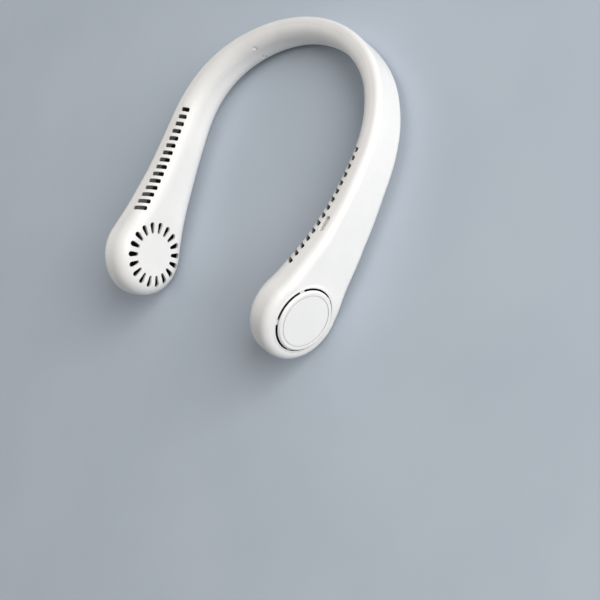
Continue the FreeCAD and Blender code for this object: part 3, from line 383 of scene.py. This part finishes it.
def winding_path():
    """Wire round one tooth: out along it in the first layer and back in the second."""
    points = []
    steps = TURNS * TURN_POINTS
    for layer, (half_wide, half_high) in enumerate(LAYERS):
        for step in range(steps + 1):
            share = step / steps if layer == 0 else 1 - step / steps
            turn = 2 * math.pi * step / TURN_POINTS
            along = COIL_NEAR + (COIL_FAR - COIL_NEAR) * share
            across = half_wide * squared(math.cos(turn))
            points.append((along, across, half_high * squared(math.sin(turn))))
    mesh = bpy.data.meshes.new("winding_path")
    mesh.from_pydata(points, [(step, step + 1) for step in range(len(points) - 1)], [])
    return mesh


def winding_tree():
    """Round wire along the path, repeated about the motor's axis."""
    tree = Tree("winding_tree")
    wire = tree.size("Wire radius")
    teeth = tree.size("Teeth", "NodeSocketInt")
    step_turn = tree.size("Turn between teeth")
    path = tree.node("GeometryNodeMeshToCurve", Mesh=tree.entry.outputs["Geometry"])
    ring = tree.node("GeometryNodeCurvePrimitiveCircle", Resolution=WIRE_SIDES, Radius=wire)
    tube = tree.node(
        "GeometryNodeCurveToMesh", Curve=path.outputs["Curve"],
        Profile_Curve=ring.outputs["Curve"], Fill_Caps=True)
    spots = tree.node("GeometryNodeMeshLine", Count=teeth, Offset=(0.0, 0.0, 0.0))
    index = tree.node("GeometryNodeInputIndex").outputs["Index"]
    spin = tree.vector(Z=tree.times(index, step_turn))
    copies = tree.node(
        "GeometryNodeInstanceOnPoints", Points=spots.outputs["Mesh"],
        Instance=tube.outputs["Mesh"], Rotation=spin)
    smooth = tree.node("GeometryNodeSetShadeSmooth", Geometry=copies.outputs["Instances"])
    tree.end(smooth.outputs["Geometry"], FINISHES["copper"])
    return tree


def motor_windings():
    """Windings of both motors, in place of the plain sleeves on their teeth."""
    tree = winding_tree()
    path = winding_path()
    sizes = {
        "Wire radius": WIRE_RADIUS, "Teeth": TOOTH_COUNT,
        "Turn between teeth": 2 * math.pi / TOOTH_COUNT}
    for side in ("left", "right"):
        axis = SPIN_AXES[f"{side}_fan"]
        back = PORT_AXIS.cross(axis).normalized()
        node = f"{side}_stator_coils"
        placement = placing(middle_of(node), back, axis.cross(back), axis)
        windings = tree.piece(f"{side}_windings", path, sizes, placement)
        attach(windings, "housing")
        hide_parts(node)


# Contacts on the tongue of the charging socket
CONTACT_COUNT = 12
CONTACT_PITCH = 0.5 * MM
CONTACT_SIZE = (0.26 * MM, 0.06 * MM, 3.6 * MM)
CONTACT_LIFT = 0.9 * MM
# Largest cosine between two directions that count as square to each other
SQUARE_LIMIT = 0.01


def contact_tree():
    """A row of flat contacts on each face of the socket's tongue."""
    tree = Tree("contact_tree")
    count = tree.size("Contacts", "NodeSocketInt")
    pitch = tree.size("Pitch")
    block = tree.size("Contact size", "NodeSocketVector")
    apart = tree.size("Faces apart")
    spots = tree.node("GeometryNodeMeshLine", Count=count, Offset=tree.vector(X=pitch))
    contact = tree.node("GeometryNodeMeshCube", Size=block)
    row = tree.node(
        "GeometryNodeInstanceOnPoints", Points=spots.outputs["Mesh"], Instance=contact.outputs["Mesh"])
    both = tree.node("GeometryNodeJoinGeometry")
    for share in (-0.5, 0.5):
        face = tree.node(
            "GeometryNodeTransform", Geometry=row.outputs["Instances"],
            Translation=tree.vector(Y=tree.times(apart, share)))
        feed(tree.group, both.inputs["Geometry"], face.outputs["Geometry"])
    tree.end(both.outputs["Geometry"], CONTACT_GOLD)
    return tree


def longest_side(mesh, across):
    """Direction of a block's longest edge square to a given direction."""
    places = [vertex.co for vertex in mesh.vertices]
    sides = [places[edge.vertices[1]] - places[edge.vertices[0]] for edge in mesh.edges]
    square = [side for side in sides if abs(side.normalized().dot(across)) < SQUARE_LIMIT]
    return max(square, key=lambda side: side.length).normalized()


def port_contacts():
    """Both rows of contacts, centred on the tongue."""
    mesh = nodes["usb_tongue"].data
    along = longest_side(mesh, PORT_AXIS)
    across = PORT_AXIS.cross(along)
    depths = [vertex.co.dot(across) for vertex in mesh.vertices]
    row = (CONTACT_COUNT - 1) * CONTACT_PITCH
    start = middle_of("usb_tongue") + PORT_AXIS * CONTACT_LIFT - along * row / 2
    sizes = {
        "Contacts": CONTACT_COUNT, "Pitch": CONTACT_PITCH, "Contact size": CONTACT_SIZE,
        "Faces apart": max(depths) - min(depths)}
    contacts = contact_tree().piece(
        "port_contacts", bpy.data.meshes.new("contact_start"), sizes,
        placing(start, along, across, PORT_AXIS))
    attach(contacts, "housing")


motor_windings()
port_contacts()

# Floor, light and camera
FLOOR_REACH = 6.0
FLOOR_COLOURS = ((0.52, 0.59, 0.675), (0.55, 0.62, 0.705))


def floor():
    finish = Finish("studio_floor")
    finish.paint(finish.blend(finish.noise(9), FLOOR_COLOURS))
    finish.rough(finish.noise(60), (0.85, 0.95))
    finish.set(Specular_IOR_Level=0.1)
    mesh = bpy.data.meshes.new("floor")
    low, high = -FLOOR_REACH, FLOOR_REACH
    mesh.from_pydata([(low, low, 0), (high, low, 0), (high, high, 0), (low, high, 0)], [], [(0, 1, 2, 3)])
    mesh.materials.append(finish.material)
    obj = bpy.data.objects.new("floor", mesh)
    scene.collection.objects.link(obj)


LIGHT_DISTANCE = 2.4
LIGHT_WIDTH = 1.9
LIGHT_COLOUR = (1.0, 0.98, 0.955)
LIGHT_AIM = Vector((0.0, 0.0, 0.03))


def softbox(name, bearing, height, power):
    """Round soft light; bearing is counted from +X towards +Y and height above the table, in degrees."""
    light = bpy.data.lights.new(name, "AREA")
    light.shape = "DISK"
    light.size = LIGHT_WIDTH
    light.color = LIGHT_COLOUR
    light.energy = power
    obj = bpy.data.objects.new(name, light)
    turn = math.radians(bearing)
    rise = math.radians(height)
    flat = math.cos(rise)
    way = Vector((flat * math.cos(turn), flat * math.sin(turn), math.sin(rise)))
    obj.location = LIGHT_AIM + way * LIGHT_DISTANCE
    obj.rotation_euler = way.to_track_quat("Z", "Y").to_euler()
    scene.collection.objects.link(obj)


ROOM_COLOUR = (1.0, 0.975, 0.945)
ROOM_STRENGTH = 0.25


def room():
    world = bpy.data.worlds.new("studio")
    world.use_nodes = True
    background = world.node_tree.nodes["Background"]
    background.inputs["Color"].default_value = (*ROOM_COLOUR, 1.0)
    background.inputs["Strength"].default_value = ROOM_STRENGTH
    scene.world = world


# Fitted to the object's outline in the photograph: place in metres, turn in degrees, lens in millimetres
CAMERA_PLACE = (0.532855, -0.052442, 0.503976)
CAMERA_TURN = (17.025, 41.1106, 26.4545)
CAMERA_LENS = 71.49
CAMERA_SENSOR = 36.0
CAMERA_NEAR = 0.01
CAMERA_FAR = 20.0


def camera():
    data = bpy.data.cameras.new("camera")
    data.sensor_width = CAMERA_SENSOR
    data.lens = CAMERA_LENS
    data.clip_start = CAMERA_NEAR
    data.clip_end = CAMERA_FAR
    obj = bpy.data.objects.new("camera", data)
    obj.location = CAMERA_PLACE
    obj.rotation_euler = [math.radians(turn) for turn in CAMERA_TURN]
    scene.collection.objects.link(obj)
    scene.camera = obj


floor()
softbox("key", bearing=25, height=28, power=52.5)
softbox("rear", bearing=55, height=28, power=7.4)
softbox("fill", bearing=185, height=18, power=13.0)
room()
camera()
scene.view_settings.view_transform = "Standard"
